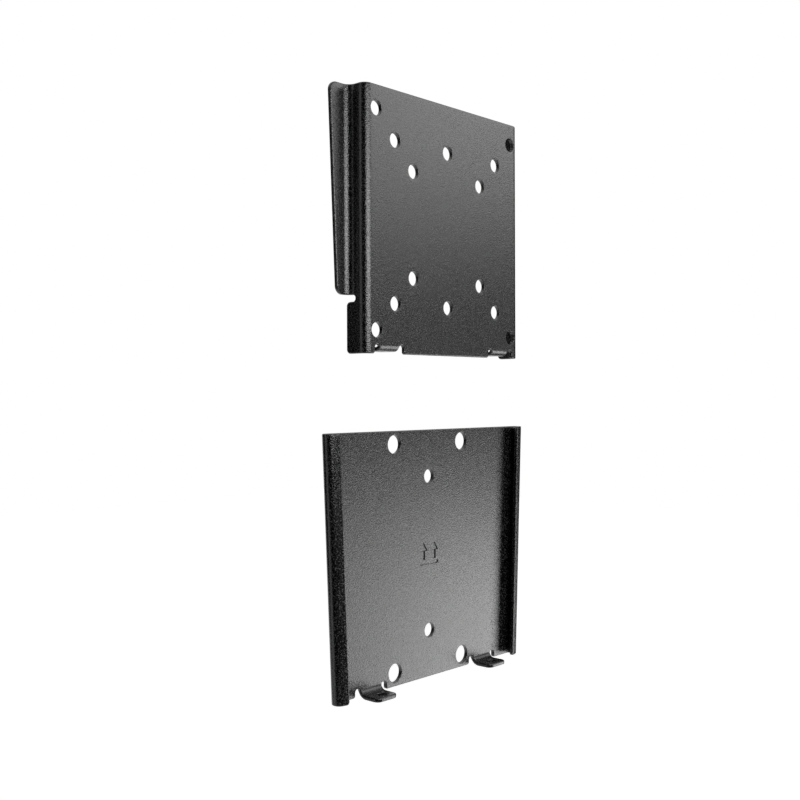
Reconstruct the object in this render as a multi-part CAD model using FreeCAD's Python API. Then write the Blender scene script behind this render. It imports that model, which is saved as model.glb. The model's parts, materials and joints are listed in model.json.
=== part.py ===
import FreeCAD, Part
import math
import os

# A low-profile monitor wall bracket of two folded steel sheets.
# The wall plate is screwed to the wall. It has a tapered channel folded along each side.
# The monitor plate is screwed to the screen. Its tapered flanges drop down into those channels.
# It is shown lifted straight up off the wall plate, by the length "lift".
# Millimetres. X runs to the right seen from the front, Y runs into the wall, Z is up.
# The origin is the middle of the wall screw holes, on the wall.

# Sheet steel
sheet = 2.0
slide_clearance = 0.5

# Screen screw holes, on the square grids of flat screens
screen_hole_diameter = 6.8
large_grid = 100.0
medium_grid = 75.0
small_grid = 50.0

# Monitor plate: a tray with its side walls folded back, as far past the large grid as its margins say
plate_margin_x = 7.3
plate_margin_z = 10.75
plate_depth = 12.3
bend_radius = 2.0
wall_corner_radius = 2.0

# Tapered flanges folded outwards along the upper part of the side walls
flange_reach = 11.6
flange_length = 95.0
flange_taper_deg = 2.5
flange_bend_radius = 3.5
flange_corner_radius = 4.0
relief_height = 3.0

# Wall plate: a flat sheet with a channel folded along each side
wall_plate_height = 122.0
lip_width = 7.0
lip_flare_deg = 12.0
lip_corner_radius = 1.5

# Wall screw holes, the large ones at a set distance from the tabs and from the top and bottom edges
fixing_hole_diameter = 8.8
fixing_tab_distance = 16.5
fixing_margin_z = 6.5
levelling_hole_diameter = 6.8
levelling_spacing_z = 76.0

# Locking tabs along both bottom edges, with a screw hole that lines up when seated
# The notches beside them leave some flat sheet next to the side walls' bends
tab_margin_x = 2.1
tab_corner_radius = 3.0
notch_width = 3.2
notch_corner_radius = 1.2
lock_screw_distance = 8.5
wall_tab_width = 14.0
wall_tab_reach = 13.0
wall_tab_drop = 1.0
wall_tab_bend_radius = 3.0
wall_tab_hole_diameter = 5.0
monitor_tab_width = 13.0
monitor_tab_raise = 1.2
monitor_tab_bend_radius = 1.0
monitor_tab_hole_diameter = 3.4

# The pose shown: how far the monitor plate stands above its seat
lift = 158.0

# Places worked out from the sizes above
half_width = large_grid / 2 + plate_margin_x
flat_half_width = half_width - sheet - bend_radius
tab_spacing = 2 * (flat_half_width - tab_margin_x - notch_width) - monitor_tab_width
plate_height = large_grid + 2 * plate_margin_z
flange_back_y = -(sheet + slide_clearance)
front_y = flange_back_y - plate_depth
taper = math.tan(math.radians(flange_taper_deg))
channel_gap = sheet + 2 * slide_clearance
fold_radius = channel_gap / 2
wall_bottom_z = -wall_plate_height / 2
wall_top_z = wall_plate_height / 2
wall_tab_under_z = wall_bottom_z - wall_tab_drop
wall_tab_top_z = wall_tab_under_z + sheet
seated_bottom_z = wall_tab_top_z - monitor_tab_raise
plate_bottom_z = seated_bottom_z + lift
plate_top_z = plate_bottom_z + plate_height
plate_middle_z = (plate_bottom_z + plate_top_z) / 2
flange_bottom_z = plate_top_z - flange_length
flange_edge_x = half_width + flange_reach
monitor_tab_end_y = -(sheet + wall_tab_bend_radius + slide_clearance)
seated_top_z = seated_bottom_z + plate_height

# How far a cutting tool runs past the sheet that it cuts
overrun = 5.0


def vector(x, y, z):
    return FreeCAD.Vector(x, y, z)


def box_between(low, high):
    """A box given by its two opposite corners."""
    size = vector(*high) - vector(*low)
    return Part.makeBox(size.x, size.y, size.z, vector(*low))


def prism(points, direction):
    """The polygon through the points, carried along a direction."""
    corners = [vector(*point) for point in points]
    outline = Part.makePolygon(corners + corners[:1])
    return Part.Face(outline).extrude(vector(*direction))


def round_along(solid, axis, places, radius):
    """Rounds the edges that run along one axis through the given places, each a pair of the other coordinates."""
    others = [name for name in "xyz" if name != axis]
    chosen = []
    for edge in solid.Edges:
        middle = edge.BoundBox.Center
        run = edge.tangentAt(edge.FirstParameter)
        if edge.Curve.TypeId != "Part::GeomLine" or abs(getattr(run, axis)) < 0.9:
            continue
        here = [getattr(middle, name) for name in others]
        if any(math.dist(here, place) < sheet / 4 for place in places):
            chosen.append(edge)
    return solid.makeFillet(radius, chosen)


def mirrored(solid):
    """The same piece on the other side of the bracket's middle plane."""
    return solid.mirror(vector(0, 0, 0), vector(1, 0, 0))


def both_sides(solid):
    return [solid, mirrored(solid)]


def bend(axis_start, along, inside_radius, first_deg, turn_deg):
    """A fold of the sheet: part of a ring about a line, from one angle on through a turn.

    Angles are measured about the line from +X, or from +Y where the line runs along X.
    """
    outside = Part.makeCylinder(inside_radius + sheet, along.Length, vector(0, 0, 0), vector(0, 0, 1), turn_deg)
    inside = Part.makeCylinder(inside_radius, along.Length, vector(0, 0, 0), vector(0, 0, 1), turn_deg)
    ring = outside.cut(inside)
    ring.rotate(vector(0, 0, 0), vector(0, 0, 1), first_deg)
    across = vector(0, 1, 0) if abs(along.x) > 0 else vector(1, 0, 0)
    turned = FreeCAD.Rotation(across, along.cross(across), along)
    ring.Placement = FreeCAD.Placement(axis_start, turned).multiply(ring.Placement)
    return ring


def screw_holes(places, diameter, low_y, high_y):
    """One cylinder along Y for each hole, given by the holes' X and Z."""
    length = high_y - low_y + 2 * overrun
    start_y = low_y - overrun
    return [Part.makeCylinder(diameter / 2, length, vector(x, start_y, z), vector(0, 1, 0)) for x, z in places]


def square_grid(spacing, middle_z):
    half = spacing / 2
    return [(x, middle_z + z) for x in (-half, half) for z in (-half, half)]


def tab_window(width, sheet_low_y, edge_z, fold_top_z):
    """What is cut from a bottom edge to free a tab: its width and a round-topped notch on each side."""
    low_y = sheet_low_y - overrun
    high_y = sheet_low_y + sheet + overrun
    notch_radius = notch_width / 2
    shoulder_z = fold_top_z - notch_radius
    middle_x = tab_spacing / 2
    half_open = width / 2 + notch_width
    low = (middle_x - half_open, low_y, edge_z - overrun)
    tools = [box_between(low, (middle_x + half_open, high_y, shoulder_z))]
    tools.append(box_between((middle_x - width / 2, low_y, shoulder_z), (middle_x + width / 2, high_y, fold_top_z)))
    for side in (-1, 1):
        notch_x = middle_x + side * (width + notch_width) / 2
        start = vector(notch_x, low_y, shoulder_z)
        tools.append(Part.makeCylinder(notch_radius, high_y - low_y, start, vector(0, 1, 0)))
    return tools


def notch_corners(width, edge_z):
    """Where the notches beside both tabs open into the bottom edge, each given by its X and Z."""
    half_open = width / 2 + notch_width
    return [(side * (tab_spacing / 2 + way * half_open), edge_z) for side in (-1, 1) for way in (-1, 1)]


def tab(width, inside_radius, hole_diameter, outer_y, end_y, under_z):
    """A tab folded from a bottom edge: a quarter bend, then a flat end with round corners and a screw hole.

    outer_y is the sheet's face outside the fold, and end_y is the tab's free end.
    """
    way = 1 if end_y > outer_y else -1
    left_x = tab_spacing / 2 - width / 2
    centre_y = outer_y + way * (sheet + inside_radius)
    centre_z = under_z + sheet + inside_radius
    first_deg = 180 if way > 0 else 270
    fold = bend(vector(left_x, centre_y, centre_z), vector(width, 0, 0), inside_radius, first_deg, 90)
    low = (left_x, min(centre_y, end_y), under_z)
    flat = box_between(low, (left_x + width, max(centre_y, end_y), under_z + sheet))
    flat = round_along(flat, "z", [(left_x, end_y), (left_x + width, end_y)], tab_corner_radius)
    hole_start = vector(tab_spacing / 2, -lock_screw_distance, under_z - overrun)
    hole = Part.makeCylinder(hole_diameter / 2, sheet + 2 * overrun, hole_start)
    return fold.fuse(flat.cut(hole))


def monitor_plate():
    inner_x = half_width - sheet
    inner_y = front_y + sheet
    back_y = flange_back_y
    section = [
        (-half_width, back_y), (-half_width, front_y), (half_width, front_y), (half_width, back_y),
        (inner_x, back_y), (inner_x, inner_y), (-inner_x, inner_y), (-inner_x, back_y),
    ]
    tray = prism([(x, y, plate_bottom_z) for x, y in section], (0, 0, plate_height))
    tray = round_along(tray, "z", [(-half_width, front_y), (half_width, front_y)], bend_radius + sheet)
    tray = round_along(tray, "z", [(-inner_x, inner_y), (inner_x, inner_y)], bend_radius)

    # The side walls stop where the flange's bend starts, and run on to the back below a relief notch
    bend_start_y = back_y - sheet - flange_bend_radius
    relief_bottom_z = flange_bottom_z - relief_height
    relief_radius = relief_height / 2
    relief_y = bend_start_y + relief_radius
    low_x = inner_x - overrun
    high_x = half_width + overrun
    high_y = back_y + overrun
    window = box_between((low_x, bend_start_y, flange_bottom_z), (high_x, high_y, plate_top_z + overrun))
    relief = box_between((low_x, relief_y, relief_bottom_z), (high_x, high_y, flange_bottom_z))
    relief_start = vector(low_x, relief_y, relief_bottom_z + relief_radius)
    relief_end = Part.makeCylinder(relief_radius, high_x - low_x, relief_start, vector(1, 0, 0))
    tray = tray.cut([tool for piece in (window, relief, relief_end) for tool in both_sides(piece)])
    corners = [(back_y, relief_bottom_z), (back_y, plate_bottom_z)]
    tray = round_along(tray, "x", corners, wall_corner_radius)

    fold_x = half_width + flange_bend_radius
    fold_start = vector(fold_x, bend_start_y, flange_bottom_z)
    fold = bend(fold_start, vector(0, 0, flange_length), flange_bend_radius, 90, 90)
    bottom_edge_x = flange_edge_x - taper * flange_length
    outline = [
        (fold_x, flange_bottom_z), (bottom_edge_x, flange_bottom_z),
        (flange_edge_x, plate_top_z), (fold_x, plate_top_z),
    ]
    flange = prism([(x, back_y - sheet, z) for x, z in outline], (0, sheet, 0))
    tips = [(bottom_edge_x, flange_bottom_z), (flange_edge_x, plate_top_z)]
    # The corners' rounding stays within the flat that is left beside the bend at the narrow end
    tip_radius = min(flange_corner_radius, bottom_edge_x - fold_x)
    flange = round_along(flange, "y", tips, tip_radius)

    tab_under_z = plate_bottom_z + monitor_tab_raise
    tab_fold_top_z = tab_under_z + sheet + monitor_tab_bend_radius
    notches = tab_window(monitor_tab_width, front_y, plate_bottom_z, tab_fold_top_z)
    tongue = tab(
        monitor_tab_width, monitor_tab_bend_radius, monitor_tab_hole_diameter,
        front_y, monitor_tab_end_y, tab_under_z,
    )

    places = []
    for spacing in (large_grid, medium_grid, small_grid):
        places += square_grid(spacing, plate_middle_z)
    places += [(0, plate_middle_z - medium_grid / 2), (0, plate_middle_z + medium_grid / 2)]
    holes = screw_holes(places, screen_hole_diameter, front_y, front_y + sheet)

    cuts = [tool for piece in notches for tool in both_sides(piece)] + holes
    adds = [solid for piece in (fold, flange, tongue) for solid in both_sides(piece)]
    corners = notch_corners(monitor_tab_width, plate_bottom_z)
    tray = round_along(tray.cut(cuts), "y", corners, notch_corner_radius)
    return tray.fuse(adds).removeSplitter()


def wall_plate():
    # The folds' centre lines lie along the edges of the seated flanges
    top_x = flange_edge_x + taper * (wall_top_z - seated_top_z)
    bottom_x = top_x - taper * wall_plate_height
    outline = [(-bottom_x, wall_bottom_z), (bottom_x, wall_bottom_z), (top_x, wall_top_z), (-top_x, wall_top_z)]
    plate = prism([(x, -sheet, z) for x, z in outline], (0, sheet, 0))

    # A fold to the front, a little short of a half turn, and a lip that runs on from it, flared to let flanges in
    fold_y = -(sheet + fold_radius)
    length = wall_plate_height / math.cos(math.radians(flange_taper_deg)) + 2 * overrun
    fold_start = vector(0, fold_y, -length / 2)
    fold = bend(fold_start, vector(0, 0, length), fold_radius, lip_flare_deg - 90, 180 - lip_flare_deg)
    lip_back_y = -(sheet + channel_gap)
    lip_flat = lip_width - fold_radius - sheet
    lip = box_between((-lip_flat, lip_back_y - sheet, -length / 2), (0, lip_back_y, length / 2))
    lip.rotate(fold_start, vector(0, 0, 1), lip_flare_deg)
    channel = fold.fuse(lip)
    channel.rotate(vector(0, 0, 0), vector(0, 1, 0), flange_taper_deg)
    channel.translate(vector((top_x + bottom_x) / 2, 0, 0))
    reach = top_x + fold_radius + sheet + overrun
    low = (-reach, lip_back_y - sheet - overrun, wall_bottom_z)
    channel = channel.common(box_between(low, (reach, overrun, wall_top_z)))

    flare = math.radians(lip_flare_deg)
    lip_inset = lip_flat * math.cos(flare) - (fold_radius + sheet / 2) * math.sin(flare)
    lip_edge = lip_inset / math.cos(math.radians(flange_taper_deg))
    lip_tips = [(bottom_x - lip_edge, wall_bottom_z), (top_x - lip_edge, wall_top_z)]
    channel = round_along(channel, "y", lip_tips, lip_corner_radius)

    fold_top_z = wall_tab_under_z + sheet + wall_tab_bend_radius
    notches = tab_window(wall_tab_width, -sheet, wall_bottom_z, fold_top_z)
    tongue = tab(
        wall_tab_width, wall_tab_bend_radius, wall_tab_hole_diameter,
        0, -wall_tab_reach, wall_tab_under_z,
    )

    fixing_x = tab_spacing / 2 - fixing_tab_distance
    fixing_z = wall_top_z - fixing_margin_z
    fixings = [(x, z) for x in (-fixing_x, fixing_x) for z in (-fixing_z, fixing_z)]
    levelling = [(0, -levelling_spacing_z / 2), (0, levelling_spacing_z / 2)]
    holes = screw_holes(fixings, fixing_hole_diameter, -sheet, 0)
    holes += screw_holes(levelling, levelling_hole_diameter, -sheet, 0)

    cuts = [tool for piece in notches for tool in both_sides(piece)] + holes
    adds = [solid for piece in (channel, tongue) for solid in both_sides(piece)]
    corners = notch_corners(wall_tab_width, wall_bottom_z)
    plate = round_along(plate.cut(cuts), "y", corners, notch_corner_radius)
    return plate.fuse(adds).removeSplitter()


os.makedirs("parts", exist_ok=True)
for name, piece in (("wall_plate", wall_plate()), ("monitor_plate", monitor_plate())):
    solid = piece.Solids[0]
    print(f"{name}: {len(piece.Solids)} solid, valid {piece.isValid()}, {solid.Volume / 1000:.2f} cm3")
    solid.exportStep(f"parts/{name}.step")
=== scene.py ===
# %% [markdown]
# # A monitor wall bracket of two folded steel sheets
#
# The real bracket is two pieces of sheet steel, cut flat, folded in a press and powder coated black.
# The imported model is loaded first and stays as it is: it says where everything sits and how it moves.
# Each plate is then made again here as a finer sheet, with round edges that catch the light.

# %% Load the frame
import json
import bpy
import numpy as np
from mathutils import Matrix, Vector
from mathutils.geometry import delaunay_2d_cdt


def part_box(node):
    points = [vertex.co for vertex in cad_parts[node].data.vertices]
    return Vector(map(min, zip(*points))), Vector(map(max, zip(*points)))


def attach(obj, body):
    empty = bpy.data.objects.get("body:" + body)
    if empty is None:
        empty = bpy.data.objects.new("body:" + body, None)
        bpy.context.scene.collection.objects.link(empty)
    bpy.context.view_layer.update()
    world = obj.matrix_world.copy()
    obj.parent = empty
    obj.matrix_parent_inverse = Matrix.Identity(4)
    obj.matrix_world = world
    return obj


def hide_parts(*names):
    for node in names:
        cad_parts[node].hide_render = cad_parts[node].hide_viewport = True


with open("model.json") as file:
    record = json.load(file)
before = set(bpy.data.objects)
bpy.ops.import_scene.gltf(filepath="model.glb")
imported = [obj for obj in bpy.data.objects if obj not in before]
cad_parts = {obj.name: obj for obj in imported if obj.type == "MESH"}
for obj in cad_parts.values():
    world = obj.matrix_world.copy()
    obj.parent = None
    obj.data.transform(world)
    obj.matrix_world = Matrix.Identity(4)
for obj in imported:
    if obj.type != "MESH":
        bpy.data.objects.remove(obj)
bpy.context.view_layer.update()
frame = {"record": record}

# %% [markdown]
# ## Sizes
#
# Sheet metal is drawn in millimetres, and Blender works in metres, so one factor joins the two.
# Outer edges come from the boxes of the two solids, and every screw hole comes from the record's mounts.
# Only what those can't tell, such as the sheet and its bends, is written down here.

# %% Sizes from the frame, in millimetres
metres = 0.001
mounts = {mount["name"]: mount for mount in frame["record"]["mounts"]}


def corners_of(node):
    """The lowest and highest corner of a solid, in millimetres."""
    return [np.array(corner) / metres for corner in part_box(node)]


monitor_low, monitor_high = corners_of("monitor_plate")
wall_low, wall_high = corners_of("wall_plate")
front_y = monitor_low[1]
back_y = monitor_high[1]
plate_bottom = monitor_low[2]
plate_top = monitor_high[2]
flange_edge = monitor_high[0]
wall_top = wall_high[2]
# The wall plate's box ends at its tabs. Its bottom edge is as far below the origin as its top edge is above.
wall_bottom = -wall_top
print(f"monitor plate {monitor_high - monitor_low} mm, wall plate {wall_high - wall_low} mm")

# %% Sizes of the sheet and its folds, in millimetres
sheet = 2.0
slide_clearance = 0.5
edge_radius = 0.6
hole_edge_radius = 0.3

# The monitor plate's tray and flanges
plate_margin = 7.3
bend_radius = 2.0
wall_corner = 2.0
flange_length = 95.0
flange_bend = 3.5
flange_corner = 3.95
taper = np.radians(2.5)
relief_height = 3.0

# The wall plate's channels, which hold a flange with the clearance on both of its faces
fold_radius = sheet / 2 + slide_clearance
lip_width = 7.0
lip_flare = np.radians(12)
lip_corner = 1.5

# The tabs of both plates, and the notches beside them
tab_corner = 3.0
notch = 3.2
notch_corner = 1.2
wall_tab_width = 14.0
wall_tab_bend = 3.0
monitor_tab_width = 13.0
monitor_tab_raise = 1.2
monitor_tab_bend = 1.0
print(f"sheet {sheet} mm thick, channels {2 * fold_radius} mm wide inside")

# %% [markdown]
# ## From a flat blank to a folded plate
#
# A press shop cuts a flat blank with all its holes and then folds it. The same order works here.
# The blank is a polygon with round corners, given as a short list of corners with a radius each.
# One could cut the holes from a thick plate with booleans, but those leave ragged triangles round each hole.
# A constrained triangulation keeps every edge of the outline, every hole and every fold line as drawn.

# %% Outlines with round corners
arc_pieces = 8
hole_points = 56
longest_side = 1.6
same_point = 1e-6


def rounded(corners):
    """A closed loop from corners given as (across, up, radius).

    Each corner is replaced by an arc that touches both of its sides. The arc's centre lies on the line that
    halves the corner, at radius / sin(half the angle), and the arc starts radius / tan(half) from the corner.
    """
    place = np.array(corners, float)[:, :2]
    radius = np.array(corners, float)[:, 2:]
    before = np.roll(place, 1, axis=0) - place
    after = np.roll(place, -1, axis=0) - place
    before /= np.linalg.norm(before, axis=1, keepdims=True)
    after /= np.linalg.norm(after, axis=1, keepdims=True)
    half = np.arccos(np.clip((before * after).sum(axis=1, keepdims=True), -1, 1)) / 2
    middle = before + after
    middle /= np.linalg.norm(middle, axis=1, keepdims=True)
    centre = place + middle * radius / np.sin(half)
    first = place + before * radius / np.tan(half) - centre
    last = place + after * radius / np.tan(half) - centre
    start = np.arctan2(first[:, 1], first[:, 0])
    turn = np.arctan2(last[:, 1], last[:, 0]) - start
    turn = (turn + np.pi) % (2 * np.pi) - np.pi
    angle = start[:, None] + turn[:, None] * np.linspace(0, 1, arc_pieces + 1)
    loop = centre[:, None] + radius[:, None] * np.stack([np.cos(angle), np.sin(angle)], axis=2)
    loop = loop.reshape(-1, 2)
    fresh = np.linalg.norm(loop - np.roll(loop, 1, axis=0), axis=1) > same_point
    return divided(loop[fresh])


def divided(loop):
    """The loop with each side cut into equal pieces, none longer than the longest side."""
    sides = np.roll(loop, -1, axis=0) - loop
    pieces = np.ceil(np.linalg.norm(sides, axis=1) / longest_side).astype(int)
    first = np.repeat(np.cumsum(pieces) - pieces, pieces)
    share = (np.arange(pieces.sum()) - first) / np.repeat(pieces, pieces)
    return np.repeat(loop, pieces, axis=0) + share[:, None] * np.repeat(sides, pieces, axis=0)


def circle(centre, radius):
    """A hole's edge: points at equal angles, at the radius from the centre."""
    angle = np.linspace(0, 2 * np.pi, hole_points, endpoint=False)
    return np.array(centre) + radius * np.column_stack([np.cos(angle), np.sin(angle)])


def inset(loop, distance):
    """The loop moved inwards: each corner goes by distance * (sum of its sides' normals) / (1 + their product)."""
    side = np.roll(loop, -1, axis=0) - loop
    side /= np.linalg.norm(side, axis=1, keepdims=True)
    normal = np.column_stack([-side[:, 1], side[:, 0]])
    before = np.roll(normal, 1, axis=0)
    return loop + distance * (normal + before) / (1 + (normal * before).sum(axis=1, keepdims=True))


def both_sides(right_half):
    """The right half's corners, and the same corners mirrored to the left, in the other order."""
    return right_half + [(-across, up, radius) for across, up, radius in reversed(right_half)]


print(f"outlines: {arc_pieces} pieces to a round corner, {hole_points} to a hole")

# %% Triangles between the outline, the holes and the fold lines
lattice_pitch = 2.6
lattice_margin = 1.3
merge_distance = 0.01


def inside(points, loop):
    """True where a line from the point to the right crosses the loop an odd number of times."""
    start, end = loop, np.roll(loop, -1, axis=0)
    across, up = points[:, :1], points[:, 1:]
    spans = (start[:, 1] > up) != (end[:, 1] > up)
    rise = end[:, 1] - start[:, 1]
    rise = np.where(rise == 0, 1, rise)
    crossing = start[:, 0] + (up - start[:, 1]) / rise * (end[:, 0] - start[:, 0])
    return (spans & (across < crossing)).sum(axis=1) % 2 == 1


def far_from(points, others, margin):
    """True where the nearest of the other points is further off than the margin."""
    apart = np.linalg.norm(points[:, None] - others[None], axis=2)
    return apart.min(axis=1) > margin


def ring(loop):
    """The loop's edges, as pairs of neighbours that close at the end."""
    index = np.arange(len(loop))
    return np.column_stack([index, np.roll(index, -1)])


def chain(line):
    """An open line's edges, as pairs of neighbours."""
    index = np.arange(len(line) - 1)
    return np.column_stack([index, index + 1])


def cut_blank(outline, holes, lines, marks=()):
    """Points and triangles of a flat blank, and the radius that rounds the sheet's edge at each point.

    The blank stops short of its edges by that radius, which is smaller in the holes than round the outline.
    Loops and lines are kept as edges of the triangles. A lattice of points fills the flat parts between them.
    A triangle stays if its middle lies inside the outline and outside every hole.
    """
    outline = inset(outline, edge_radius)
    holes = [inset(hole, -hole_edge_radius) for hole in holes]
    low, high = outline.min(axis=0), outline.max(axis=0)
    counts = np.ceil((high - low) / lattice_pitch).astype(int)
    steps = [np.linspace(low[axis], high[axis], counts[axis]) for axis in (0, 1)]
    lattice = np.stack(np.meshgrid(*steps), axis=2).reshape(-1, 2)
    drawn = np.concatenate([outline, *holes, *lines, *marks])
    lattice = lattice[inside(lattice, outline) & far_from(lattice, drawn, lattice_margin)]
    edges = [ring(loop) for loop in (outline, *holes)]
    edges += [chain(line) for line in lines]
    edges += [ring(loop) for loop in marks]
    starts = np.cumsum([0] + [len(group) for group in (outline, *holes, *lines, *marks)])
    edges = np.concatenate([pairs + start for pairs, start in zip(edges, starts)])
    points = np.concatenate([drawn, lattice])
    found = delaunay_2d_cdt(points.tolist(), edges.tolist(), [], 0, merge_distance)
    points, triangles = np.array(found[0]), np.array(found[2])
    middle = points[triangles].mean(axis=1)
    keep = inside(middle, outline)
    for hole in holes:
        keep &= ~inside(middle, hole)
    used, triangles = np.unique(triangles[keep], return_inverse=True)
    points = points[used]
    off_holes = far_from(points, np.concatenate(holes), 2 * merge_distance)
    return points, triangles.reshape(-1, 3), np.where(off_holes, edge_radius, hole_edge_radius)


print(f"blanks: a lattice of {lattice_pitch} mm between the drawn lines")

# %% [markdown]
# ## Folding
#
# Seen end on, a folded sheet is straight stretches and arcs laid one after the other.
# Walking along that section by a given length gives a place and a heading, and the heading gives the
# direction that the sheet's face looks in. A second walk, a sheet's thickness under the face, gives the back.
# So each plate is one function of two parameters, the place across and up the blank, at a depth.

# %% Walk along a section
quarter = np.pi / 2


def walk(run, start, heading, stretches):
    """Where a walk of each length ends, and the direction of the face there.

    A stretch is (length, radius). With radius 0 it is straight: start + run * (cos, sin) of the heading.
    Otherwise the heading turns by run / radius, to the left if positive, and the place moves along the arc by
    radius * (sin of the new heading - sin of the old, cos of the old - cos of the new).
    The face looks to the right of the heading.
    """
    place = np.tile(np.array(start, float), (len(run), 1))
    turned = np.full(len(run), float(heading))
    begun = 0.0
    for length, radius in stretches:
        part = np.clip(run - begun, 0, length)
        if radius:
            new = heading + part / radius
            place += radius * np.column_stack([np.sin(new) - np.sin(heading), np.cos(heading) - np.cos(new)])
            turned += part / radius
            heading += length / radius
        else:
            place += part[:, None] * [np.cos(heading), np.sin(heading)]
        begun += length
    return place, np.column_stack([np.sin(turned), -np.cos(turned)])


bend_length = np.array([bend_radius * quarter])
bend_end = walk(bend_length, (0, 0), 0, [(bend_length[0], bend_radius)])[0]
print("a quarter bend of radius", bend_radius, "ends at", bend_end[0].round(3))

# %% Fold lines on the blank
fold_steps = 10


def steps_of(start, length, count):
    """Evenly spaced values over a stretch, both ends among them."""
    return start + np.linspace(0, length, count + 1)


def upright_line(across, low, high):
    """A fold line up the blank, at one place across, or at one place for each end."""
    up = np.linspace(low, high, int((high - low) / lattice_pitch) + 1)
    return np.column_stack([np.interp(up, [low, high], np.broadcast_to(across, 2)), up])


def level_line(up, low, high):
    """A fold line across the blank, at one height."""
    across = np.linspace(low, high, int((high - low) / lattice_pitch) + 1)
    return np.column_stack([across, np.full(len(across), up)])


print(f"folds: {fold_steps} flat steps to a quarter bend")

# %% [markdown]
# ## Tabs
#
# Both plates have two tabs on their bottom edge, freed by a round-topped notch on each side.
# They differ only in size, in the way they fold and in the radius that the drawn face has there,
# so one small class holds a tab's blank, its fold lines and its fold.

# %% A tab on a bottom edge
tab_middle = mounts["wall_tab_holes"]["dims"]["spacing_x_mm"] / 2
lock_screw_y = mounts["wall_tab_holes"]["pos_m"][1] / metres


class Tab:
    """A tab folded from a bottom edge: a quarter bend of the drawn face's radius, then a flat end."""

    def __init__(self, width, face_y, end_y, fold_top, radius, hole_radius):
        self.low = tab_middle - width / 2
        self.high = tab_middle + width / 2
        self.face_y = face_y
        self.fold_top = fold_top
        self.bend = radius * quarter
        self.way = np.sign(end_y - face_y)
        flat_start = face_y + self.way * radius
        self.flat = abs(end_y - flat_start)
        self.stretches = [(self.bend, self.way * radius), (self.flat, 0)]
        hole_up = fold_top - self.bend - abs(lock_screw_y - flat_start)
        self.holes = [circle((side * tab_middle, hole_up), hole_radius) for side in (-1, 1)]

    def corners(self, edge):
        """The bottom edge's corners from the first notch to the last, as (across, up, radius)."""
        end = self.fold_top - self.bend - self.flat
        return [
            (self.low - notch, edge, notch_corner), (self.low - notch, self.fold_top, notch / 2),
            (self.low, self.fold_top, notch / 2), (self.low, end, tab_corner),
            (self.high, end, tab_corner), (self.high, self.fold_top, notch / 2),
            (self.high + notch, self.fold_top, notch / 2), (self.high + notch, edge, notch_corner),
        ]

    def fold_lines(self):
        """Level lines at even steps down the bend, from notch to notch, and the same on the left tab."""
        lines = []
        for up in steps_of(self.fold_top, -self.bend, fold_steps):
            line = level_line(up, self.low - notch / 2, self.high + notch / 2)
            lines += [line, line * [-1, 1]]
        return lines

    def fold(self, flat, depth, folded):
        """Moves the tab's points from the flat blank to where the walk down from the fold line puts them."""
        across = np.abs(flat[:, 0])
        beside = (across > self.low - notch / 2) & (across < self.high + notch / 2)
        mine = beside & (flat[:, 1] < self.fold_top)
        run = self.fold_top - flat[mine, 1]
        place, face = walk(run, (self.face_y, self.fold_top), -quarter, self.stretches)
        folded[mine, 1:] = place - depth[mine, None] * face


print(f"tabs {tab_middle} mm from the middle line, their lock screws {-lock_screw_y:.1f} mm from the wall")

# %% [markdown]
# ## The monitor plate
#
# This sheet is a shallow tray: a front with the screen's screw holes, two side walls folded back and,
# along the upper part of each wall, a tapered flange folded outwards. A round-ended relief notch lets
# the flange fold while the wall below it stays straight.

# %% Monitor plate: sizes and fold
# The solid's box reaches only to the flange's rounded corner. A corner of 90 degrees less the taper, drawn sharp,
# stands past its rounding by radius * (cos taper + sin taper - 1) / (1 - sin taper).
flange_tip = flange_edge + flange_corner * (np.cos(taper) + np.sin(taper) - 1) / (1 - np.sin(taper))
half_width = mounts["screen_grid_100"]["dims"]["spacing_x_mm"] / 2 + plate_margin
outer_bend = bend_radius + sheet
front_half = half_width - outer_bend
bend_start_y = back_y - sheet - flange_bend
wall_run = bend_start_y - front_y - outer_bend
wall_start = front_half + outer_bend * quarter
flange_fold = wall_start + wall_run
flange_start = flange_fold + flange_bend * quarter
flange_bottom = plate_top - flange_length
relief_middle = flange_bottom - relief_height / 2
tray_section = [(front_half, 0), (outer_bend * quarter, outer_bend)]
straight_wall = tray_section + [(wall_run + sheet + flange_bend, 0)]
flanged_wall = tray_section + [
    (wall_run, 0), (flange_bend * quarter, -flange_bend), (flange_tip - half_width - flange_bend, 0),
]
monitor_tab_top = plate_bottom + monitor_tab_raise + sheet + monitor_tab_bend
monitor_tab_end = -(sheet + wall_tab_bend + slide_clearance)
monitor_tab = Tab(
    monitor_tab_width, front_y, monitor_tab_end, monitor_tab_top, monitor_tab_bend + sheet,
    mounts["monitor_tab_holes"]["dims"]["hole_r_mm"],
)


def fold_monitor_plate(flat, depth):
    """The blank's points, folded: a walk across from the middle line gives X and Y, and the height stays Z.

    Above the relief notch the walk turns outwards into the flange, and below it the wall runs straight back.
    """
    run = np.abs(flat[:, 0])
    low_place, low_face = walk(run, (0, front_y), 0, straight_wall)
    high_place, high_face = walk(run, (0, front_y), 0, flanged_wall)
    flanged = (flat[:, 1] > relief_middle)[:, None]
    section = np.where(flanged, high_place, low_place) - depth[:, None] * np.where(flanged, high_face, low_face)
    folded = np.column_stack([np.sign(flat[:, 0]) * section[:, 0], section[:, 1], flat[:, 1]])
    monitor_tab.fold(flat, depth, folded)
    return folded


print(f"monitor plate: bends start {front_half:.1f} and {flange_fold:.1f} mm from the blank's middle line")

# %% Monitor plate: blank
def flange_end(up):
    """How far across the blank the flange's tapered edge lies at a height."""
    return flange_start + flange_tip - half_width - flange_bend - np.tan(taper) * (plate_top - up)


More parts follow.
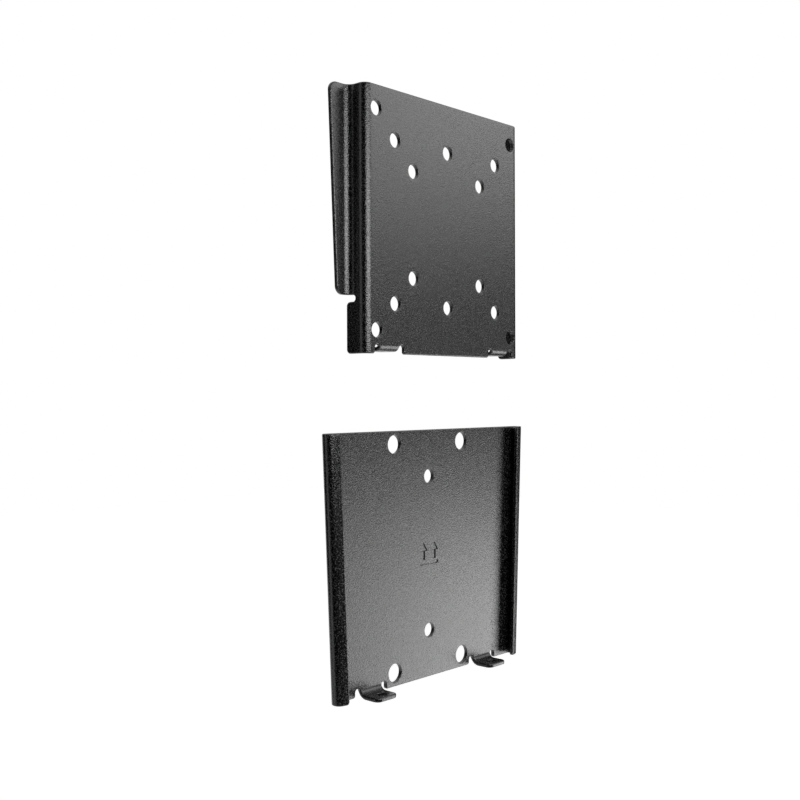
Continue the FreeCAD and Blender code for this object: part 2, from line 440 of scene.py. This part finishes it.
def grid_of(name):
    """The middles of a mount's screw holes: its spacings, centred on the mount's place."""
    mount = mounts[name]
    half_x = mount["dims"].get("spacing_x_mm", 0) / 2
    half_z = mount["dims"]["spacing_y_mm"] / 2
    middle_z = mount["pos_m"][2] / metres
    return sorted({(x, middle_z + z) for x in (-half_x, half_x) for z in (-half_z, half_z)})


def holes_of(*names):
    """A circle of the mount's own radius round each screw hole's middle."""
    return [circle(place, mounts[name]["dims"]["hole_r_mm"]) for name in names for place in grid_of(name)]


wall_back = wall_start + wall_run + sheet + flange_bend
relief_bottom = flange_bottom - relief_height
monitor_corners = both_sides(monitor_tab.corners(plate_bottom) + [
    (wall_back, plate_bottom, wall_corner), (wall_back, relief_bottom, wall_corner),
    (flange_fold, relief_bottom, relief_height / 2), (flange_fold, flange_bottom, relief_height / 2),
    (flange_end(flange_bottom), flange_bottom, flange_corner), (flange_end(plate_top), plate_top, flange_corner),
])
past_edge = lattice_pitch
monitor_lines = monitor_tab.fold_lines()
for across in steps_of(front_half, outer_bend * quarter, fold_steps):
    line = upright_line(across, plate_bottom - past_edge, plate_top + past_edge)
    monitor_lines += [line, line * [-1, 1]]
for across in steps_of(flange_fold, flange_bend * quarter, fold_steps):
    line = upright_line(across, flange_bottom, plate_top + past_edge)
    monitor_lines += [line, line * [-1, 1]]
monitor_holes = holes_of("screen_grid_100", "screen_grid_75", "screen_grid_50", "screen_pair_75")
monitor_blank = cut_blank(rounded(monitor_corners), monitor_holes + monitor_tab.holes, monitor_lines)
print(f"monitor plate blank: {len(monitor_holes)} screen holes, {len(monitor_blank[1])} triangles")

# %% [markdown]
# ## The wall plate
#
# This sheet is flat against the wall, with a channel folded along each side: a fold to the front, a little
# short of a half turn, and a lip that runs back inwards and flares open. The fold lines lean by the flanges'
# taper, so the fold is worked out square to its own line, and a point then slides along that line to the
# height that it has on the blank.

# %% Wall plate: sizes and fold
fold_top_x = wall_high[0] - (fold_radius + sheet) / np.cos(taper)
fold_run = (np.pi - lip_flare) * fold_radius
lip_flat = lip_width - fold_radius - sheet
channel_section = [(fold_run, -fold_radius), (lip_flat, 0)]
wall_tab_top = wall_low[2] + sheet + wall_tab_bend
wall_tab = Tab(
    wall_tab_width, -sheet, wall_low[1], wall_tab_top, wall_tab_bend,
    mounts["wall_tab_holes"]["dims"]["hole_r_mm"],
)


def fold_line_x(up):
    """How far from the middle the channel's fold starts, at a height."""
    return fold_top_x - np.tan(taper) * (wall_top - up)


def fold_wall_plate(flat, depth):
    """The blank's points, folded: flat up to the fold line, then a walk round the channel square to that line.

    The walk gives a distance n from the line and a Y. At the height z the line has been followed for
    (z + n * sin taper) / cos taper. X is where the line passes height 0, plus that length times sin taper,
    plus n * cos taper.
    """
    run = np.abs(flat[:, 0]) - fold_line_x(flat[:, 1])
    place, face = walk(run, (0, -sheet), 0, channel_section)
    away, y = (place - depth[:, None] * face).T
    along = (flat[:, 1] + away * np.sin(taper)) / np.cos(taper)
    x = np.where(run > 0, fold_line_x(0) + along * np.sin(taper) + away * np.cos(taper), np.abs(flat[:, 0]))
    folded = np.column_stack([np.sign(flat[:, 0]) * x, y, flat[:, 1]])
    wall_tab.fold(flat, depth, folded)
    return folded


print(f"wall plate: channels start {fold_line_x(wall_bottom):.1f} to {fold_top_x:.1f} mm from the middle line")

# %% [markdown]
# A plain pair of upright arrows over a bar is stamped into the middle of the plate, to say which way is up.
# Each stroke is drawn twice, once at the plate's face and once a little further in. The inner loop is pushed
# down, so the slope between the two is the side of the stamp.

# %% Stamped mark
mark_depth = 0.5
mark_slope = 0.2
mark_height = 11.0
arrow_spacing = 8.0
shaft_width = 1.8
head_width = 5.6
head_height = 4.2
bar_height = 1.6
bar_length = arrow_spacing + head_width
mark_middle = (0.0, 0.0)


def arrow(middle_x, low, high):
    """An upright arrow: a shaft, and a triangle for its head."""
    shaft = shaft_width / 2
    head = head_width / 2
    neck = high - head_height
    return np.array([
        (middle_x - shaft, low), (middle_x + shaft, low), (middle_x + shaft, neck), (middle_x + head, neck),
        (middle_x, high), (middle_x - head, neck), (middle_x - shaft, neck),
    ])


mark_x, mark_z = mark_middle
mark_low = mark_z - mark_height / 2
arrow_low = mark_low + bar_height + shaft_width / 2
strokes = [arrow(mark_x + side * arrow_spacing / 2, arrow_low, mark_z + mark_height / 2) for side in (-1, 1)]
strokes.append(np.array([
    (mark_x - bar_length / 2, mark_low), (mark_x + bar_length / 2, mark_low),
    (mark_x + bar_length / 2, mark_low + bar_height), (mark_x - bar_length / 2, mark_low + bar_height),
]))


def stamped(flat):
    """How deep the face is pressed in: the mark's depth inside a stroke's inner loop, and none elsewhere."""
    pressed = np.any([inside(flat, inset(stroke, mark_slope / 2)) for stroke in strokes], axis=0)
    return np.where(pressed, mark_depth, 0.0)


print(f"mark: {bar_length:.1f} x {mark_height:.1f} mm, pressed in by {mark_depth} mm")

# %% Wall plate: blank
lip_end = fold_run + lip_flat
wall_corners = both_sides(wall_tab.corners(wall_bottom) + [
    (fold_line_x(wall_bottom) + lip_end, wall_bottom, lip_corner),
    (fold_line_x(wall_top) + lip_end, wall_top, lip_corner),
])
wall_lines = wall_tab.fold_lines()
for run in steps_of(0, fold_run, 2 * fold_steps):
    low, high = wall_bottom - past_edge, wall_top + past_edge
    line = upright_line((fold_line_x(low) + run, fold_line_x(high) + run), low, high)
    wall_lines += [line, line * [-1, 1]]
wall_holes = holes_of("wall_fixing", "wall_levelling")
marks = strokes + [inset(stroke, mark_slope) for stroke in strokes]
wall_blank = cut_blank(rounded(wall_corners), wall_holes + wall_tab.holes, wall_lines, marks)
print(f"wall plate blank: {len(wall_holes)} wall holes, {len(wall_blank[1])} triangles")

# %% [markdown]
# ## Closing the sheet and rounding its edges
#
# The face and the back use the same triangles, the back's in the other order. Every edge that belongs to only
# one triangle lies on the rim. Powder paint never leaves a knife edge, so the rim is a rounded strip: a quarter
# circle out from the face, the cut edge of the sheet, and a quarter circle in to the back.
# A Bevel could round it too, but where a rim runs round a fold its corners overlap, so the strip is drawn.
# Weighted normals then keep the large flats flat, so that only the round edges shine.

# %% The rim and its section
edge_steps = 4


def rim_of(flat, triangles):
    """The points on the rim, the way out of the sheet at each, and the rim's edges as pairs of those points.

    An edge lies on the rim where no triangle uses its reverse. The way out at a point is the sum of the outward
    normals of its two edges over (1 + their product), so that both edges move out by the same distance.
    """
    count = len(flat)
    directed = triangles[:, [[0, 1], [1, 2], [2, 0]]].reshape(-1, 2)
    reverse = directed[:, 1] * count + directed[:, 0]
    first, last = directed[~np.isin(directed[:, 0] * count + directed[:, 1], reverse)].T
    side = flat[last] - flat[first]
    side /= np.linalg.norm(side, axis=1, keepdims=True)
    normal = np.column_stack([side[:, 1], -side[:, 0]])
    leaving, arriving = np.zeros_like(flat), np.zeros_like(flat)
    leaving[first] = normal
    arriving[last] = normal
    way_out = (leaving + arriving) / (1 + (leaving * arriving).sum(axis=1, keepdims=True))
    rim = np.unique(first)
    return rim, way_out[rim], np.searchsorted(rim, np.column_stack([first, last]))


def rim_section(radius):
    """Steps across the rim as (way out, depth): radius * sin and radius * (1 - cos), then the same in reverse."""
    angle = np.linspace(0, quarter, edge_steps + 1)[1:, None]
    out = radius * np.sin(angle)
    sunk = radius * (1 - np.cos(angle))
    return zip(np.vstack([out, out[::-1]]), np.vstack([sunk, sheet - sunk[::-1]]))


print(f"rim: {2 * edge_steps} rows of points between the face and the back")

# %% Build both plates
sharp_angle = np.radians(40)


def make_plate(name, blank, fold, face_depth):
    """A closed sheet: the folded face, the folded back a sheet's thickness under it, and the rim between."""
    flat, triangles, radius = blank
    count = len(flat)
    rim, way_out, pairs = rim_of(flat, triangles)
    strips = [fold(flat[rim] + out[:, None] * way_out, depth) for out, depth in rim_section(radius[rim])]
    points = np.concatenate([fold(flat, face_depth), fold(flat, np.full(count, sheet)), *strips]) * metres
    between = 2 * count + np.arange(len(strips) * len(rim)).reshape(len(strips), -1)
    rows = np.vstack([rim, between, rim + count])
    start, end = pairs.T
    quads = np.stack([rows[:-1, end], rows[:-1, start], rows[1:, start], rows[1:, end]], axis=2).reshape(-1, 4)
    faces = triangles.tolist() + (triangles[:, ::-1] + count).tolist() + quads.tolist()
    mesh = bpy.data.meshes.new(name)
    mesh.from_pydata(points, [], faces)
    mesh.polygons.foreach_set("use_smooth", np.ones(len(faces), bool))
    piece = bpy.data.objects.new(name, mesh)
    bpy.context.scene.collection.objects.link(piece)
    mesh.set_sharp_from_angle(angle=sharp_angle)
    piece.modifiers.new("flat faces", "WEIGHTED_NORMAL").keep_sharp = True
    print(f"{name}: {len(faces)} faces, {len(rim)} points round its rim")
    return piece


monitor_sheet = make_plate(
    "monitor_plate_sheet", monitor_blank, fold_monitor_plate, np.zeros(len(monitor_blank[0])),
)
wall_sheet = make_plate("wall_plate_sheet", wall_blank, fold_wall_plate, stamped(wall_blank[0]))

# %% Each plate stands for its solid and rides on its body
for piece, node in ((monitor_sheet, "monitor_plate"), (wall_sheet, "wall_plate")):
    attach(piece, node)
    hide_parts(node)
    print(piece.name, "stands for", node)

# %% [markdown]
# ## Black powder coat
#
# The paint goes on as a dry powder and melts in an oven. It flows into a fine pebble, half a millimetre or so
# across, with a satin gloss. A flat black would look like plastic, so the pebble is real bump, the gloss
# changes a little from spot to spot, and the black is broken by sparse lighter grains.

# %% Powder coat material
coat_black = (0.001, 0.001, 0.001, 1.0)
coat_grain = (0.040, 0.041, 0.041, 1.0)
coat_ior = 1.52
roughness_between_grains = 0.185
roughness_on_grains = 0.30
pebble_size = 0.42 * metres
pebble_detail = 0.5
pebble_height = 0.10 * metres
grain_size = 0.55 * metres
# The noise is about 0.5 on average. A grain starts to show a little above that, so most of the coat is black.
grain_start, grain_full = 0.52, 0.74


def noise(tree, place, size, detail):
    """Noise with features of about the given size, in metres."""
    node = tree.nodes.new("ShaderNodeTexNoise")
    node.inputs["Scale"].default_value = 1 / size
    node.inputs["Detail"].default_value = detail
    tree.links.new(place, node.inputs["Vector"])
    return node.outputs["Fac"]


def remap(tree, value, low, high, new_low, new_high):
    """The value's range from low to high, stretched to a new range."""
    node = tree.nodes.new("ShaderNodeMapRange")
    for name, number in (("From Min", low), ("From Max", high), ("To Min", new_low), ("To Max", new_high)):
        node.inputs[name].default_value = number
    tree.links.new(value, node.inputs["Value"])
    return node.outputs["Result"]


def powder_coat(name):
    """Black, mixed towards the grains' colour and roughness by one noise, and raised into pebbles by another."""
    material = bpy.data.materials.new(name)
    material.use_nodes = True
    tree = material.node_tree
    shader = tree.nodes["Principled BSDF"]
    place = tree.nodes.new("ShaderNodeTexCoord").outputs["Object"]
    pebble = noise(tree, place, pebble_size, pebble_detail)
    grain = noise(tree, place, grain_size, 0.0)
    speck = remap(tree, grain, grain_start, grain_full, 0.0, 1.0)
    roughness = remap(tree, speck, 0.0, 1.0, roughness_between_grains, roughness_on_grains)

    colour = tree.nodes.new("ShaderNodeMix")
    colour.data_type = "RGBA"
    colour.inputs["A"].default_value = coat_black
    colour.inputs["B"].default_value = coat_grain
    tree.links.new(speck, colour.inputs["Factor"])
    tree.links.new(colour.outputs["Result"], shader.inputs["Base Color"])
    tree.links.new(roughness, shader.inputs["Roughness"])
    shader.inputs["IOR"].default_value = coat_ior

    bump = tree.nodes.new("ShaderNodeBump")
    bump.inputs["Strength"].default_value = 1.0
    bump.inputs["Distance"].default_value = pebble_height
    tree.links.new(pebble, bump.inputs["Height"])
    tree.links.new(bump.outputs["Normal"], shader.inputs["Normal"])
    return material


for piece, node in ((monitor_sheet, "monitor_plate"), (wall_sheet, "wall_plate")):
    coat = powder_coat(node + "_powder_coat")
    piece.data.materials.append(coat)
    print("coated", piece.name, "with", coat.name)

# %% [markdown]
# ## Stage
#
# The bracket hangs in front of plain white. The floor lies well below it and is lit like any floor, so it
# keeps the shadow. For the camera and for reflections it also gives off light, which makes it as white as
# the world behind it.

# %% Helpers for the stage
white = (1.0, 1.0, 1.0, 1.0)


def seen_directly(tree):
    """1 for rays from the camera, from a reflection or through glass, and 0 for the rest."""
    path = tree.nodes.new("ShaderNodeLightPath")
    total = path.outputs["Is Camera Ray"]
    for name in ("Is Glossy Ray", "Is Transmission Ray"):
        larger = tree.nodes.new("ShaderNodeMath")
        larger.operation = "MAXIMUM"
        tree.links.new(total, larger.inputs[0])
        tree.links.new(path.outputs[name], larger.inputs[1])
        total = larger.outputs["Value"]
    return total


def card(name, corner, first_side, second_side):
    """A flat four-sided card: a corner, and that corner plus each of its two sides and both."""
    corner, first_side, second_side = np.array(corner), np.array(first_side), np.array(second_side)
    mesh = bpy.data.meshes.new(name)
    points = [corner, corner + first_side, corner + first_side + second_side, corner + second_side]
    mesh.from_pydata(points, [], [(0, 1, 2, 3)])
    piece = bpy.data.objects.new(name, mesh)
    bpy.context.scene.collection.objects.link(piece)
    return piece


print("stage: the floor and the world glow for the camera and for reflections")

# %% Floor
floor_drop = 0.62
floor_half = 6.0
floor_colour = (0.82, 0.82, 0.82, 1.0)
floor_roughness = 0.8
floor_glow = 0.86

floor_height = wall_low[2] * metres - floor_drop
floor_side = 2 * floor_half
floor = card("floor", (-floor_half, -floor_half, floor_height), (floor_side, 0, 0), (0, floor_side, 0))
floor_paint = bpy.data.materials.new("pale_floor")
floor_paint.use_nodes = True
paint = floor_paint.node_tree.nodes["Principled BSDF"]
paint.inputs["Base Color"].default_value = floor_colour
paint.inputs["Roughness"].default_value = floor_roughness
paint.inputs["Emission Color"].default_value = white
glow = remap(floor_paint.node_tree, seen_directly(floor_paint.node_tree), 0, 1, 0, floor_glow)
floor_paint.node_tree.links.new(glow, paint.inputs["Emission Strength"])
floor.data.materials.append(floor_paint)
print(f"floor {floor_drop} m under the bracket, {floor_side} m wide")

# %% White world
world_fill = 0.14

world = bpy.data.worlds.new("white studio")
bpy.context.scene.world = world
world.use_nodes = True
sky = world.node_tree.nodes["Background"]
sky.inputs["Color"].default_value = white
strength = remap(world.node_tree, seen_directly(world.node_tree), 0, 1, world_fill, 1)
world.node_tree.links.new(strength, sky.inputs["Strength"])
print(f"the world is white to look at, and lights the bracket at {world_fill}")

# %% [markdown]
# Black things show their form only where something dark is mirrored next to something bright. So a photographer
# stands black cards round the set. Here one is along the left, for the bends and channels, and one behind it,
# for the insides of the screw holes. A low one is at the front, and two are at the right, between and beside
# the lamps. Only reflections see them: the camera doesn't, and they throw no shadow on the floor.

# %% Black cards
card_black = (0.004, 0.004, 0.004, 1.0)
# Each card has a corner and two sides that run from it, in metres
black_cards = {
    "left_flag": ((-0.75, -1.3, -0.66), (0, 1.36, 0), (0, 0, 1.6)),
    "back_flag": ((-0.78, 0.45, -0.30), (0.62, 0.46, 0), (0, 0, 1.05)),
    "front_flag": ((-0.75, -1.0, -0.66), (1.42, 0, 0), (0, 0, 0.76)),
    "right_flag": ((0.45, -1.42, 0.13), (1.02, 1.24, 0), (0, 0, 0.13)),
    "far_right_flag": ((0.90, -0.38, -0.66), (0, 0.85, 0), (0, 0, 1.2)),
}
flag_paint = bpy.data.materials.new("matte_black_card")
flag_paint.use_nodes = True
flag_shader = flag_paint.node_tree.nodes["Principled BSDF"]
flag_shader.inputs["Base Color"].default_value = card_black
flag_shader.inputs["Roughness"].default_value = 1.0
flag_shader.inputs["Specular IOR Level"].default_value = 0.0
for name, (corner, level_side, upright_side) in black_cards.items():
    flag = card(name, corner, level_side, upright_side)
    flag.data.materials.append(flag_paint)
    flag.visible_camera = False
    flag.visible_diffuse = False
    flag.visible_shadow = False
    print(f"{name}: {np.linalg.norm(level_side):.2f} m long, {np.linalg.norm(upright_side):.2f} m high")

# %% [markdown]
# ## Lamps
#
# The faces look right past the camera, so what they mirror stands at the right front: one soft lamp above
# eye level, for the upper plate, and one below it, for the lower plate. The bends at the left mirror a long
# low lamp at the front, as one bright line each. A lamp's power is the brightness of its surface, times pi,
# times its area.

# %% Soft lamps
aim = Vector((0.0, -0.008, 0.08))


def soft_lamp(name, azimuth, elevation, distance, width, height, brightness):
    """A rectangular lamp that looks at the bracket. Azimuth runs from the front to the right, in degrees."""
    turn, rise = np.radians((azimuth, elevation))
    way = Vector((np.sin(turn) * np.cos(rise), -np.cos(turn) * np.cos(rise), np.sin(rise)))
    lamp = bpy.data.lights.new(name, "AREA")
    lamp.shape = "RECTANGLE"
    lamp.size = width
    lamp.size_y = height
    lamp.energy = brightness * np.pi * width * height
    holder = bpy.data.objects.new(name, lamp)
    bpy.context.scene.collection.objects.link(holder)
    holder.location = aim + distance * way
    holder.rotation_euler = way.to_track_quat("Z", "Y").to_euler()
    holder.visible_camera = False
    print(f"{name}: {lamp.energy:.2f} W at {azimuth} degrees round, {elevation} up")


soft_lamp("upper_right_lamp", azimuth=49, elevation=28, distance=0.95, width=0.50, height=0.44, brightness=2.5)
soft_lamp("lower_right_lamp", azimuth=57, elevation=-27, distance=0.80, width=0.38, height=0.45, brightness=4.8)
soft_lamp("front_lamp", azimuth=-9, elevation=12, distance=0.85, width=0.86, height=0.20, brightness=9.5)

# %% [markdown]
# ## Camera
#
# The camera stands at the left front, level with the gap between the plates. Its place and lens were found
# by fitting the screw holes' known spacings to where they lie in the picture.

# %% Camera
lens_mm = 47.960
sensor_mm = 36.0
camera_place = Vector((-0.39740, -0.34697, 0.07809))
camera_yaw, camera_pitch, camera_roll = np.radians((47.499, -0.270, -0.212))

camera_data = bpy.data.cameras.new("camera")
camera_data.lens = lens_mm
camera_data.sensor_width = sensor_mm
camera = bpy.data.objects.new("camera", camera_data)
bpy.context.scene.collection.objects.link(camera)
level = Matrix.Rotation(quarter + camera_pitch, 4, "X") @ Matrix.Rotation(camera_roll, 4, "Z")
camera.matrix_world = Matrix.Translation(camera_place) @ Matrix.Rotation(-camera_yaw, 4, "Z") @ level
bpy.context.scene.camera = camera
bpy.context.scene.view_settings.view_transform = "Standard"
print(f"camera at {[round(v, 3) for v in camera_place]} m, turned {np.degrees(camera_yaw):.1f} degrees to the right")

# %% Update the view layer and finish
bpy.context.view_layer.update()
